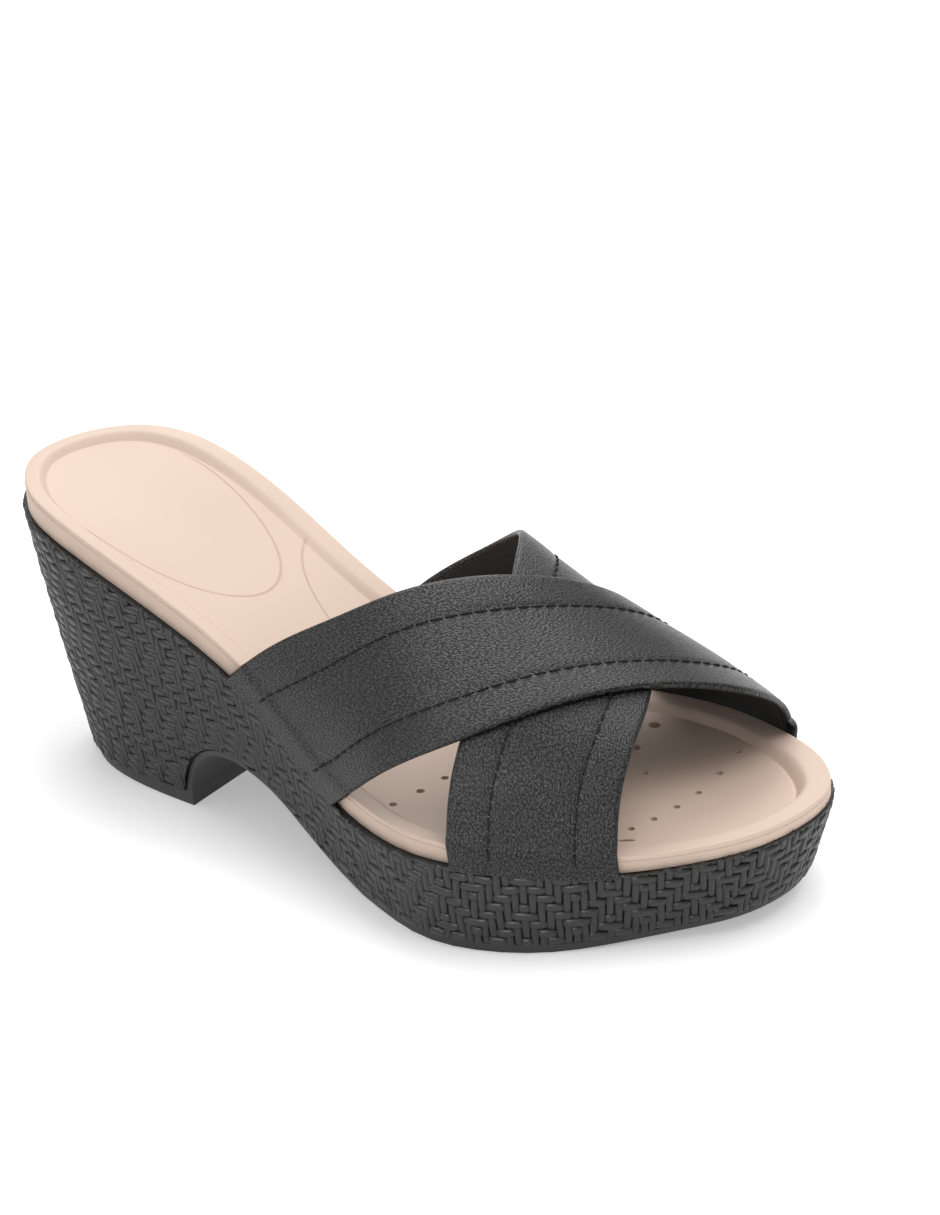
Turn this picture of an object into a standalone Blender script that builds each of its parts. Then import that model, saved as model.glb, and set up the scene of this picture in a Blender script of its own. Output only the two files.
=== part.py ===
"""A right platform mule: outsole, platform with block heel, footbed and an upper of two crossed straps.

Units are metres. +X points to the toe, +Y to the inner side of the foot and +Z up. The shoe stands on z = 0,
and the middle of its box is over the origin. Each piece is worked out from the sizes below and from short
tables with one row for each section of the last.
"""

import math

import bmesh
import bpy
import numpy as np

# Sizes of the last
FOOTBED_LENGTH = 0.240
BALL_WIDTH = 0.092
HEEL_HEIGHT = 0.0847
PLATFORM_HEIGHT = 0.0305
INSTEP_RISE = 0.0615
BEZIER_TOP = 0.75
HANDLE_RISE = INSTEP_RISE / BEZIER_TOP

# Sizes of the bottom
SIDE_HEIGHT = 0.0077
HEEL_UNDERCUT = 0.0115
UNDERCUT_BEND = 1.1
EDGE_PROUD = 0.0012
TOE_SPRING = 0.0055
SOLE_THICKNESS = 0.0024
HEEL_LAYER_REAR = 0.0014
HEEL_LAYER_FRONT = 0.0043
NOTCH_LIP = 0.0017
LIP_EVEN_UNTIL = 0.6
NOTCH_HEIGHT = 0.0206
BREAST_ALONG = 0.271
LANDING_ALONG = 0.5625

# Sizes of the footbed's rim and bed
RIM_WIDTH = 0.0095
RIM_ROUND = 0.0014
BED_DEPTH = 0.0020
HEEL_CUP = 0.0018
HEEL_CUP_SHARE = 0.13
HEEL_CUP_SPREAD = 0.13
ARCH_LIFT = 0.0016
ARCH_LIFT_SHARE = 0.42
ARCH_LIFT_SPREAD = 0.10

# Sizes of the straps, and the clearance between neighbouring pieces
STRAP_WALL = 0.0019
STRAP_SINK = 0.0003
TOP_STRAP_RAMP = 0.17
CLEARANCE = 0.0003

# How finely the surfaces are divided
TURNS = 104
BED_COLUMNS = 6
STRAP_ROWS = 34
STRAP_COLUMNS = 6
NOTCH_STEPS = 26
SOLE_STEPS = 14
WALL_SHARES = (0, 0.08, 0.3, 0.55, 0.8, 1)

# A small step along the last, to read its slopes, and how far the cutters reach past the shoe
NEARBY = 0.001
REACH = 0.02

# The last from heel to toe. along: share of the footbed's length. lateral and medial: half widths as shares
# of the ball's width. rise: share of the heel's height over the platform. level: share of the platform's
# height. side: share of the footbed's side. inset: share of the undercut at the floor. proud: share of the
# platform's proud edge. spring: share of the toe spring.
LAST_COLUMNS = ("along", "lateral", "medial", "rise", "level", "side", "inset", "proud", "spring")
LAST = (
    (0.000, 0.000, 0.000, 1.000, 1.000, 1.00, 1.00, 0.10, 0.00),
    (0.030, 0.198, 0.215, 0.996, 1.000, 0.99, 1.00, 0.20, 0.00),
    (0.090, 0.325, 0.310, 0.974, 1.000, 0.96, 1.00, 0.50, 0.00),
    (0.180, 0.369, 0.343, 0.849, 1.000, 0.93, 0.78, 1.00, 0.00),
    (0.270, 0.359, 0.332, 0.657, 1.000, 0.91, 0.48, 1.00, 0.00),
    (0.360, 0.367, 0.297, 0.465, 1.000, 0.88, 0.38, 1.00, 0.00),
    (0.450, 0.408, 0.315, 0.231, 1.000, 0.84, 0.31, 1.00, 0.00),
    (0.530, 0.472, 0.372, 0.045, 1.000, 0.81, 0.25, 1.00, 0.00),
    (0.600, 0.542, 0.408, 0.002, 0.995, 0.77, 0.20, 1.00, 0.00),
    (0.670, 0.590, 0.430, 0.000, 1.000, 0.72, 0.17, 1.00, 0.00),
    (0.740, 0.571, 0.462, 0.000, 0.992, 0.67, 0.20, 1.00, 0.00),
    (0.810, 0.484, 0.489, 0.000, 0.940, 0.63, 0.24, 1.00, 0.03),
    (0.875, 0.367, 0.457, 0.000, 0.915, 0.58, 0.42, 0.80, 0.22),
    (0.930, 0.258, 0.378, 0.000, 0.950, 0.54, 0.54, 0.40, 0.52),
    (0.975, 0.140, 0.258, 0.000, 1.008, 0.52, 0.55, 0.10, 0.84),
    (1.000, -0.075, 0.075, 0.000, 1.045, 0.50, 0.57, 0.00, 1.00),
)

# The arch over the foot, under the straps. lateral_handle and medial_handle: how high the arch's Bezier
# handles stand, as shares of the instep's rise over three quarters. lateral_lean and medial_lean: how far the
# handles lean inwards, as shares of the ball's width.
ARCH_COLUMNS = ("along", "lateral_handle", "medial_handle", "lateral_lean", "medial_lean")
ARCH = (
    (0.333, 0.910, 1.334, 0.023, -0.025),
    (0.458, 0.911, 1.330, 0.032, -0.052),
    (0.583, 0.824, 1.160, 0.034, -0.059),
    (0.708, 0.637, 0.782, 0.013, -0.018),
    (0.833, 0.609, 0.437, 0.007, 0.040),
    (0.958, 0.596, 0.173, 0.021, 0.080),
)

# The straps' edges. over: share of the arch's way from the lateral to the medial side. The others: where
# each edge crosses it, as shares of the footbed's length.
STRAP_EDGE_COLUMNS = ("over", "top_rear", "top_front", "under_rear", "under_front")
STRAP_EDGES = (
    (0.0, 0.368, 0.539, 0.715, 0.868),
    (0.2, 0.496, 0.698, 0.703, 0.860),
    (0.4, 0.605, 0.805, 0.683, 0.842),
    (0.6, 0.676, 0.882, 0.629, 0.795),
    (0.8, 0.711, 0.890, 0.551, 0.723),
    (1.0, 0.704, 0.891, 0.400, 0.597),
)

# The notch in front of the heel. along: share of its length from the breast to the landing. up: share of
# its height.
NOTCH_COLUMNS = ("along", "up")
NOTCH = (
    (0.000, 0.00),
    (0.008, 0.30),
    (0.045, 0.62),
    (0.110, 0.87),
    (0.225, 1.00),
    (0.360, 0.94),
    (0.500, 0.76),
    (0.660, 0.43),
    (0.850, 0.12),
    (1.000, 0.00),
)

# The footbed's section from its outer edge inwards. in_by: share of the rim's width. down_by: share of the
# bed's depth below the edge's height.
RIM_COLUMNS = ("in_by", "down_by")
RIM = (
    (0.15, 0.03),
    (0.50, -0.06),
    (0.78, 0.05),
    (1.00, 0.40),
    (1.20, 0.82),
    (1.50, 1.00),
)


def column(table, names, name):
    """One named column of a table."""
    return np.array([row[names.index(name)] for row in table], dtype=float)


def spline(knots, values, at):
    """The natural cubic spline through a table's rows, read at the places in at."""
    spans = np.diff(knots)
    slopes = np.diff(values) / spans
    system = np.eye(len(knots))
    right = np.zeros(len(knots))
    for row in range(1, len(knots) - 1):
        system[row, row - 1 : row + 2] = spans[row - 1], 2 * (spans[row - 1] + spans[row]), spans[row]
        right[row] = 6 * (slopes[row] - slopes[row - 1])
    bend = np.linalg.solve(system, right)
    span = np.clip(np.searchsorted(knots, at) - 1, 0, len(spans) - 1)
    width = spans[span]
    behind = (at - knots[span]) / width
    ahead = 1 - behind
    cubic = (ahead**3 - ahead) * bend[span] + (behind**3 - behind) * bend[span + 1]
    return ahead * values[span] + behind * values[span + 1] + cubic * width**2 / 6


def last_share(name, along):
    """A column of the last, read at shares of its length."""
    return spline(column(LAST, LAST_COLUMNS, "along"), column(LAST, LAST_COLUMNS, name), np.asarray(along))


def edge_height(along):
    """Height of the footbed's edge over the floor."""
    rise = last_share("rise", along) * (HEEL_HEIGHT - PLATFORM_HEIGHT)
    return rise + last_share("level", along) * PLATFORM_HEIGHT


def joint_height(along):
    """Height where the footbed's side meets the platform."""
    return edge_height(along) - last_share("side", along) * SIDE_HEIGHT


def floor_height(along):
    """Height of the shoe's underside, with its toe spring."""
    return np.maximum(last_share("spring", along), 0) * TOE_SPRING


def along_of(turn):
    """Share of the length at a turn: 0 is the heel, -1 and 1 the toe, and minus is the lateral side."""
    return (1 - np.cos(np.pi * turn)) / 2


def turn_of(along):
    """The turn on the medial side at a share of the length."""
    return np.arccos(np.clip(1 - 2 * np.asarray(along), -1, 1)) / np.pi


def outline(turn):
    """The footbed's edge in plan."""
    turns = turn_of(column(LAST, LAST_COLUMNS, "along"))
    lateral = -column(LAST, LAST_COLUMNS, "lateral") * BALL_WIDTH
    medial = column(LAST, LAST_COLUMNS, "medial") * BALL_WIDTH
    knots = np.concatenate([-turns[:0:-1], turns])
    sides = np.concatenate([lateral[:0:-1], medial])
    wrapped = 4
    knots = np.concatenate([knots[-wrapped - 1 : -1] - 2, knots, knots[1 : wrapped + 1] + 2])
    sides = np.concatenate([sides[-wrapped - 1 : -1], sides, sides[1 : wrapped + 1]])
    return np.stack([along_of(turn) * FOOTBED_LENGTH, spline(knots, sides, turn)], axis=-1)


def ring(inset, height):
    """One closed ring of points: the outline, inset by a function of along or by one value, at a height."""
    turns = -1 + 2 * np.arange(TURNS) / TURNS
    way = outline(turns + NEARBY) - outline(turns - NEARBY)
    inward = np.stack([way[:, 1], -way[:, 0]], axis=-1)
    inward /= np.linalg.norm(inward, axis=1)[:, None]
    along = along_of(turns)
    depth = inset(along) if callable(inset) else inset
    plan = outline(turns) + inward * np.broadcast_to(depth, along.shape)[:, None]
    return np.column_stack([plan, height(along)])


def new_object(name, mesh, material, parts):
    """A smooth-shaded object with its material, in the parts' collection."""
    thing = bpy.data.objects.new(name, mesh)
    if material:
        mesh.materials.append(material)
        mesh.shade_smooth()
        mesh.set_sharp_from_angle(angle=math.radians(40))
    parts.objects.link(thing)
    return thing


def close_ring(bm, loop, columns, height):
    """Closes a ring with rows of faces from its lateral to its medial side, raised by height between them."""
    half = len(loop) // 2
    rows = []
    for step in range(1, half):
        start, end = loop[step].co, loop[-step].co
        row = [loop[step]]
        for place in range(1, columns):
            point = start.lerp(end, place / columns)
            point.z += height(point.x / FOOTBED_LENGTH, place / columns, (end - start).length)
            row.append(bm.verts.new(point))
        rows.append(row + [loop[-step]])
    for before, after in zip(rows, rows[1:]):
        for place in range(columns):
            bm.faces.new((before[place], before[place + 1], after[place + 1], after[place]))
    for tip, row in ((loop[0], rows[0]), (loop[half], rows[-1])):
        for place in range(columns):
            bm.faces.new((tip, row[place], row[place + 1]))


def loft(name, rings, top_columns, top_height):
    """A closed mesh through the rings, from the lowest outer one to the last inner one."""
    bm = bmesh.new()
    loops = [[bm.verts.new(point) for point in points] for points in rings]
    for lower, upper in zip(loops, loops[1:]):
        for step in range(TURNS):
            onward = (step + 1) % TURNS
            bm.faces.new((lower[step], lower[onward], upper[onward], upper[step]))
    close_ring(bm, loops[0], 1, None)
    close_ring(bm, loops[-1], top_columns, top_height)
    bmesh.ops.recalc_face_normals(bm, faces=bm.faces)
    mesh = bpy.data.meshes.new(name)
    bm.to_mesh(mesh)
    bm.free()
    return mesh


def unit_mesh():
    """Outsole and platform as one body, before they are cut apart."""

    def wall_ring(share):
        def inset(along):
            lean = last_share("inset", along) * HEEL_UNDERCUT * (1 - share) ** UNDERCUT_BEND
            return lean - last_share("proud", along) * EDGE_PROUD * share

        def height(along):
            top = joint_height(along) - CLEARANCE
            return floor_height(along) * (1 - share) + top * share

        return ring(inset, height)

    return loft("unit", [wall_ring(share) for share in WALL_SHARES], 1, None)


def notch_line(thickness):
    """The notch's curve in side view, moved into the material by a thickness that may differ along it."""
    along = column(NOTCH, NOTCH_COLUMNS, "along") * (LANDING_ALONG - BREAST_ALONG) + BREAST_ALONG
    knots = np.column_stack([along * FOOTBED_LENGTH, column(NOTCH, NOTCH_COLUMNS, "up") * NOTCH_HEIGHT])
    chord = np.concatenate([[0], np.cumsum(np.linalg.norm(np.diff(knots, axis=0), axis=1))])
    at = np.linspace(0, chord[-1], NOTCH_STEPS + 1)
    points = np.column_stack([spline(chord, knots[:, 0], at), spline(chord, knots[:, 1], at)])
    points[-1, 1] = 0
    way = np.gradient(points, axis=0)
    outward = np.column_stack([-way[:, 1], way[:, 0]]) / np.linalg.norm(way, axis=1)[:, None]
    return points + outward * np.broadcast_to(thickness, len(points))[:, None]


def sole_line(extra):
    """The outsole's upper face in side view from heel to toe, raised by an extra gap."""
    share = np.linspace(0, 1, NOTCH_STEPS + 1)
    lip = np.interp(share, (0, LIP_EVEN_UNTIL, 1), (NOTCH_LIP, NOTCH_LIP, SOLE_THICKNESS)) + extra
    over_notch = notch_line(lip)
    front = HEEL_LAYER_FRONT + extra
    over_notch = over_notch[over_notch[:, 1] > front + NOTCH_LIP / 2]
    landed = over_notch[:, 0] < LANDING_ALONG * FOOTBED_LENGTH
    over_notch = over_notch[landed & (over_notch[:, 1] > SOLE_THICKNESS + extra)]
    heel = [
        (-REACH, HEEL_LAYER_REAR + extra),
        (BREAST_ALONG * FOOTBED_LENGTH - NOTCH_LIP - extra, front),
    ]
    along = np.linspace(LANDING_ALONG, 1, SOLE_STEPS)
    forefoot = np.column_stack([along * FOOTBED_LENGTH, floor_height(along) + SOLE_THICKNESS + extra])
    beyond = [(FOOTBED_LENGTH + REACH, TOE_SPRING + SOLE_THICKNESS + extra)]
    return np.concatenate([heel, over_notch, forefoot, beyond])


def prism(name, profile, cutters):
    """A cutter: a side-view profile drawn out across the shoe."""
    bm = bmesh.new()
    face = bm.faces.new([bm.verts.new((x, -BALL_WIDTH, z)) for x, z in profile])
    drawn = bmesh.ops.extrude_face_region(bm, geom=[face])["geom"]
    moved = [item for item in drawn if isinstance(item, bmesh.types.BMVert)]
    bmesh.ops.translate(bm, verts=moved, vec=(0, 2 * BALL_WIDTH, 0))
    bmesh.ops.recalc_face_normals(bm, faces=bm.faces)
    mesh = bpy.data.meshes.new(name)
    bm.to_mesh(mesh)
    bm.free()
    cutter = new_object(name, mesh, None, cutters)
    cutter.hide_render = True
    cutter.display_type = "WIRE"
    return cutter


def cut(thing, cutter, operation="DIFFERENCE"):
    """Adds an exact Boolean."""
    boolean = thing.modifiers.new(cutter.name, "BOOLEAN")
    boolean.operation = operation
    boolean.solver = "EXACT"
    boolean.object = cutter


def make_outsole(material, parts, cutters):
    """The thin plain layer on the floor, which also lines the notch."""
    notch = notch_line(0.0)
    hollow = np.concatenate([[(notch[0, 0], -REACH)], notch, [(notch[-1, 0], -REACH)]])
    above = sole_line(0.0)
    over = 2 * HEEL_HEIGHT
    rest = np.concatenate([above, [(above[-1, 0], over), (above[0, 0], over)]])
    outsole = new_object("outsole", unit_mesh(), material, parts)
    cut(outsole, prism("notch_cutter", hollow, cutters))
    cut(outsole, prism("above_sole_cutter", rest, cutters))
    return outsole


def make_platform(material, parts, cutters):
    """The moulded unit with the block heel, over the outsole."""
    line = sole_line(CLEARANCE)
    under = np.concatenate([line, [(line[-1, 0], -REACH), (line[0, 0], -REACH)]])
    platform = new_object("platform", unit_mesh(), material, parts)
    cut(platform, prism("below_platform_cutter", under, cutters))
    return platform


def bed_height(along, across, width):
    """Height of the bed over the level of its edge: a cup under the heel and a lift at the arch."""
    crown = math.sin(math.pi * across) * width / (BALL_WIDTH - 2 * RIM_WIDTH)
    cup = HEEL_CUP * crown * math.exp(-(((along - HEEL_CUP_SHARE) / HEEL_CUP_SPREAD) ** 2))
    lean = 4 * across**2
    arch = ARCH_LIFT * crown * lean * math.exp(-(((along - ARCH_LIFT_SHARE) / ARCH_LIFT_SPREAD) ** 2))
    return arch - cup


def make_footbed(material, parts):
    """The footbed with its upright side, rounded rim and sunk bed."""

    def below_edge(drop):
        return lambda along: edge_height(along) - drop

    rounded = RIM_ROUND * (1 - math.sqrt(0.5))
    rings = [ring(0, joint_height), ring(0, below_edge(RIM_ROUND)), ring(rounded, below_edge(rounded))]
    for in_by, down_by in RIM:
        rings.append(ring(in_by * RIM_WIDTH, below_edge(down_by * BED_DEPTH)))
    return new_object("footbed", loft("footbed", rings, BED_COLUMNS, bed_height), material, parts)


def arch_point(along, over):
    """A point of the last over the foot, at shares of the length and of the way over."""
    names = ARCH_COLUMNS
    rows = column(ARCH, names, "along")
    lateral_rise, medial_rise, lateral_lean, medial_lean = (
        spline(rows, column(ARCH, names, name), along) * size
        for name, size in zip(names[1:], (HANDLE_RISE, HANDLE_RISE, BALL_WIDTH, BALL_WIDTH))
    )
    turn = turn_of(along)
    lateral = outline(-turn)[..., 1] - CLEARANCE
    medial = outline(turn)[..., 1] + CLEARANCE
    base = joint_height(along)
    left = 1 - over
    first, second, third, fourth = left**3, 3 * over * left**2, 3 * over**2 * left, over**3
    side = (first + second) * lateral + (third + fourth) * medial
    side = side + second * lateral_lean - third * medial_lean
    height = base + second * lateral_rise + third * medial_rise
    beside = height < edge_height(along) + CLEARANCE
    side = np.where(beside & (over < 0.5), np.minimum(side, lateral), side)
    side = np.where(beside & (over > 0.5), np.maximum(side, medial), side)
    return np.stack([along * FOOTBED_LENGTH, side, height], axis=-1)


def strap_mesh(name, rear, front, lift):
    """One strap as an open sheet over the foot, lifted off the last by lift at each place over it."""
    bm = bmesh.new()
    grid = []
    names = STRAP_EDGE_COLUMNS
    knots = column(STRAP_EDGES, names, "over")
    for row in range(STRAP_ROWS + 1):
        over = row / STRAP_ROWS
        edges = [float(spline(knots, column(STRAP_EDGES, names, edge), over)) for edge in (rear, front)]
        along = np.linspace(*edges, STRAP_COLUMNS + 1)
        here = arch_point(along, over)
        climb = arch_point(along, min(over + NEARBY, 1)) - arch_point(along, max(over - NEARBY, 0))
        forward = arch_point(along + NEARBY, over) - arch_point(along - NEARBY, over)
        outward = np.cross(forward, climb)
        outward /= np.linalg.norm(outward, axis=1)[:, None]
        grid.append([bm.verts.new(point) for point in here + outward * lift(over)])
    for lower, upper in zip(grid, grid[1:]):
        for place in range(STRAP_COLUMNS):
            bm.faces.new((lower[place], lower[place + 1], upper[place + 1], upper[place]))
    mesh = bpy.data.meshes.new(name)
    bm.to_mesh(mesh)
    bm.free()
    return mesh


def top_lift(over):
    """The top strap lies on the last at its ends and on the under strap where they cross."""
    share = min(1, min(over, 1 - over) / TOP_STRAP_RAMP)
    return (STRAP_WALL - STRAP_SINK) * share * share * (3 - 2 * share)


def make_upper(material, parts, cutters):
    """Two crossed straps with a real wall, joined where they cross."""
    straps = []
    for name, rear, front, lift in (
        ("under_strap", "under_rear", "under_front", lambda over: 0.0),
        ("top_strap", "top_rear", "top_front", top_lift),
    ):
        strap = new_object(name, strap_mesh(name, rear, front, lift), material, cutters)
        wall = strap.modifiers.new("wall", "SOLIDIFY")
        wall.thickness = STRAP_WALL
        wall.offset = 1
        wall.use_even_offset = True
        straps.append(strap)
    under, top = straps
    cutters.objects.unlink(under)
    parts.objects.link(under)
    under.name = "upper"
    cut(under, top, "UNION")
    top.hide_render = True
    top.display_type = "WIRE"
    return under


def make_material(name, colour, roughness):
    """A Principled material."""
    material = bpy.data.materials.new(name)
    material.use_nodes = True
    shader = material.node_tree.nodes["Principled BSDF"]
    shader.inputs["Base Color"].default_value = (*colour, 1)
    shader.inputs["Roughness"].default_value = roughness
    shader.inputs["Metallic"].default_value = 0
    return material


def middle_of(things):
    """The middle of the box around the finished pieces, in plan."""
    bpy.context.view_layer.update()
    graph = bpy.context.evaluated_depsgraph_get()
    corners = []
    for thing in things:
        mesh = thing.evaluated_get(graph).to_mesh()
        corners += [vertex.co.copy() for vertex in mesh.vertices]
    points = np.array(corners)
    return (points.min(axis=0) + points.max(axis=0)) / 2


def build_shoe():
    for thing in list(bpy.data.objects):
        bpy.data.objects.remove(thing)
    parts = bpy.data.collections.new("platform_mule")
    cutters = bpy.data.collections.new("cutters")
    bpy.context.scene.collection.children.link(parts)
    bpy.context.scene.collection.children.link(cutters)
    black_sole = make_material("black_rubber", (0.012, 0.012, 0.012), 0.55)
    black_unit = make_material("black_moulded_polyurethane", (0.020, 0.020, 0.020), 0.45)
    beige_foam = make_material("beige_foam", (0.79, 0.60, 0.47), 0.8)
    black_leather = make_material("black_grained_leather", (0.016, 0.016, 0.016), 0.5)
    pieces = [
        make_outsole(black_sole, parts, cutters),
        make_platform(black_unit, parts, cutters),
        make_footbed(beige_foam, parts),
        make_upper(black_leather, parts, cutters),
    ]
    middle = middle_of(pieces)
    shoe = bpy.data.objects.new("shoe", None)
    parts.objects.link(shoe)
    shoe.location = (-middle[0], -middle[1], 0)
    for thing in pieces + list(cutters.objects):
        thing.parent = shoe


build_shoe()
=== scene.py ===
"""A right platform mule: plain rubber sole, plaited black unit, beige moulded footbed and two crossed straps.

Units are metres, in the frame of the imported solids: +X to the toe, +Y to the inner side of the foot, +Z up.
"""

import math
import random

import bpy
import numpy as np
from mathutils import Matrix, Vector


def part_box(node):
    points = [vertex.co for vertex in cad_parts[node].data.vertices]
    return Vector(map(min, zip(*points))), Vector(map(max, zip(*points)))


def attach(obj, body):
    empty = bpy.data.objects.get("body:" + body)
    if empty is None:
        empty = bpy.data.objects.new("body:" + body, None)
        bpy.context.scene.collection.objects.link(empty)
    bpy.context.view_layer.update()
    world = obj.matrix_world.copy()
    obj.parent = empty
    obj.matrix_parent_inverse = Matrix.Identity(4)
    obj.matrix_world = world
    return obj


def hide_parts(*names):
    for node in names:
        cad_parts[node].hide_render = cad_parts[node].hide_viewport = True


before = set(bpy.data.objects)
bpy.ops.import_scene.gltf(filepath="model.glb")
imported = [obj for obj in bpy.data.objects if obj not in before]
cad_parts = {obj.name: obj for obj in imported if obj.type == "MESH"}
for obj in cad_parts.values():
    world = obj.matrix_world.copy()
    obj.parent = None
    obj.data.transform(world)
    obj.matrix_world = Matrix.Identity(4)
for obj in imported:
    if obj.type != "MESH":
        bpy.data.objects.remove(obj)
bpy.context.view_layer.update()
chance = random.Random(7)


# Sole. A thin sheet of black rubber, moulded smooth, glued under the heel and the forefoot and round the
# notch between them. Only its edge shows, as a plain band under the plait.
MERGE = 0.00001
SOLE_EDGE = 0.0005


def linear(code):
    """An sRGB hex colour as linear RGBA."""
    shares = [int(code[place : place + 2], 16) / 255 for place in (1, 3, 5)]
    return [share / 12.92 if share <= 0.04045 else ((share + 0.055) / 1.055) ** 2.4 for share in shares] + [1]


def new_material(name, colour, roughness):
    """A material with its shader's own colour and roughness."""
    material = bpy.data.materials.new(name)
    material.use_nodes = True
    shader = material.node_tree.nodes["Principled BSDF"]
    shader.inputs["Base Color"].default_value = linear(colour)
    shader.inputs["Roughness"].default_value = roughness
    return material, shader


def add_node(tree, kind, inputs=None, **settings):
    """Adds a node with its settings. inputs gives each socket a value or another node's output."""
    made = tree.nodes.new(kind)
    for name, value in settings.items():
        setattr(made, name, value)
    for name, value in (inputs or {}).items():
        if isinstance(value, bpy.types.NodeSocket):
            tree.links.new(value, made.inputs[name])
        else:
            made.inputs[name].default_value = value
    return made


def select_only(thing):
    bpy.ops.object.select_all(action="DESELECT")
    thing.select_set(True)
    bpy.context.view_layer.objects.active = thing


def merged_copy(node, name):
    """A copy of a CAD node with its loose triangles merged."""
    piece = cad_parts[node].copy()
    piece.data = piece.data.copy()
    piece.data.materials.clear()
    piece.name = name
    bpy.context.collection.objects.link(piece)
    select_only(piece)
    bpy.ops.object.mode_set(mode="EDIT")
    bpy.ops.mesh.select_all(action="SELECT")
    bpy.ops.mesh.remove_doubles(threshold=MERGE)
    bpy.ops.mesh.tris_convert_to_quads()
    bpy.ops.object.mode_set(mode="OBJECT")
    return piece


def round_edges(piece, width, angle):
    """Rounds a piece's sharp edges and shades it smooth."""
    bevel = piece.modifiers.new("edges", "BEVEL")
    bevel.width = width
    bevel.segments = 2
    bevel.limit_method = "ANGLE"
    bevel.angle_limit = angle
    select_only(piece)
    bpy.ops.object.modifier_apply(modifier=bevel.name)
    bpy.ops.object.shade_smooth_by_angle(angle=math.radians(35))


sole = merged_copy("outsole", "sole")
round_edges(sole, SOLE_EDGE, math.radians(50))

# Moulded rubber: dull black, with a fine even grain from the mould.
sole_rubber, shader = new_material("moulded black rubber", "#2a2a29", 0.5)
tree = sole_rubber.node_tree
place = add_node(tree, "ShaderNodeTexCoord").outputs["Object"]
grain = add_node(tree, "ShaderNodeTexNoise", {"Vector": place, "Scale": 2500, "Detail": 2})
height = grain.outputs["Fac"]
bump = add_node(tree, "ShaderNodeBump", {"Height": height, "Strength": 0.25, "Distance": 0.0001})
tree.links.new(bump.outputs["Normal"], shader.inputs["Normal"])
sole.data.materials.append(sole_rubber)
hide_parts("outsole")
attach(sole, "root")


# Plaited unit. The platform with its block heel, one moulding of black polyurethane. Its sides carry a
# plait in relief: flat strips that pass over and under each other by twos, moulded and not really woven.
FOOTBED_LOW, FOOTBED_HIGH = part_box("footbed")
FOOTBED_LENGTH = FOOTBED_HIGH.x - FOOTBED_LOW.x
BALL_WIDTH = 0.092
HEEL_HEIGHT = 0.0847
PLATFORM_HEIGHT = 0.0305
SIDE_HEIGHT = 0.0077
HEEL_UNDERCUT = 0.0115
EDGE_PROUD = 0.0012
TOE_SPRING = 0.0055

# The last from heel to toe. along: share of the footbed's length. lateral and medial: half widths as shares
# of the ball's width. rise: share of the heel's height over the platform. level: share of the platform's
# height. side: share of the footbed's side. inset: share of the undercut at the floor. proud: share of the
# platform's proud edge. spring: share of the toe spring.
LAST_COLUMNS = ("along", "lateral", "medial", "rise", "level", "side", "inset", "proud", "spring")
LAST = (
    (0.000, 0.000, 0.000, 1.000, 1.000, 1.00, 1.00, 0.10, 0.00),
    (0.030, 0.198, 0.215, 0.996, 1.000, 0.99, 1.00, 0.20, 0.00),
    (0.090, 0.325, 0.310, 0.974, 1.000, 0.96, 1.00, 0.50, 0.00),
    (0.180, 0.369, 0.343, 0.849, 1.000, 0.93, 0.78, 1.00, 0.00),
    (0.270, 0.359, 0.332, 0.657, 1.000, 0.91, 0.48, 1.00, 0.00),
    (0.360, 0.367, 0.297, 0.465, 1.000, 0.88, 0.38, 1.00, 0.00),
    (0.450, 0.408, 0.315, 0.231, 1.000, 0.84, 0.31, 1.00, 0.00),
    (0.530, 0.472, 0.372, 0.045, 1.000, 0.81, 0.25, 1.00, 0.00),
    (0.600, 0.542, 0.408, 0.002, 0.995, 0.77, 0.20, 1.00, 0.00),
    (0.670, 0.590, 0.430, 0.000, 1.000, 0.72, 0.17, 1.00, 0.00),
    (0.740, 0.571, 0.462, 0.000, 0.992, 0.67, 0.20, 1.00, 0.00),
    (0.810, 0.484, 0.489, 0.000, 0.940, 0.63, 0.24, 1.00, 0.03),
    (0.875, 0.367, 0.457, 0.000, 0.915, 0.58, 0.42, 0.80, 0.22),
    (0.930, 0.258, 0.378, 0.000, 0.950, 0.54, 0.54, 0.40, 0.52),
    (0.975, 0.140, 0.258, 0.000, 1.008, 0.52, 0.55, 0.10, 0.84),
    (1.000, -0.075, 0.075, 0.000, 1.045, 0.50, 0.57, 0.00, 1.00),
)
NEARBY = 0.001
OUTLINE_STEPS = 1600

# Sizes of the plait
STRIP_HEEL = 0.00152
STRIP_FOREFOOT = 0.00210
ROW = 0.00270
HEEL_TWILL = (5, 3)
FOREFOOT_TWILL = (4, 2)
HEEL_OVERLAP = 0.5
FOREFOOT_OVERLAP = 0.45
UPRIGHT_OVERLAP = 0.8
HEEL_LEAN = 0.105
LEAN_LEVEL = 0.035
BRICK_HEIGHT = 0.00108
UPRIGHT_HEIGHT = 0.00096
SOLE_BAND = 0.0024
RAGGED = 0.0004
BEAD_RADIUS = 0.00027
BEAD_OUT = 0.0004
WALL_STEP = 0.0006
WALL_HEIGHTS = np.arange(0.001, 0.07, 0.0003)


def column(table, names, name):
    """One named column of a table."""
    return np.array([row[names.index(name)] for row in table], dtype=float)


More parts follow.
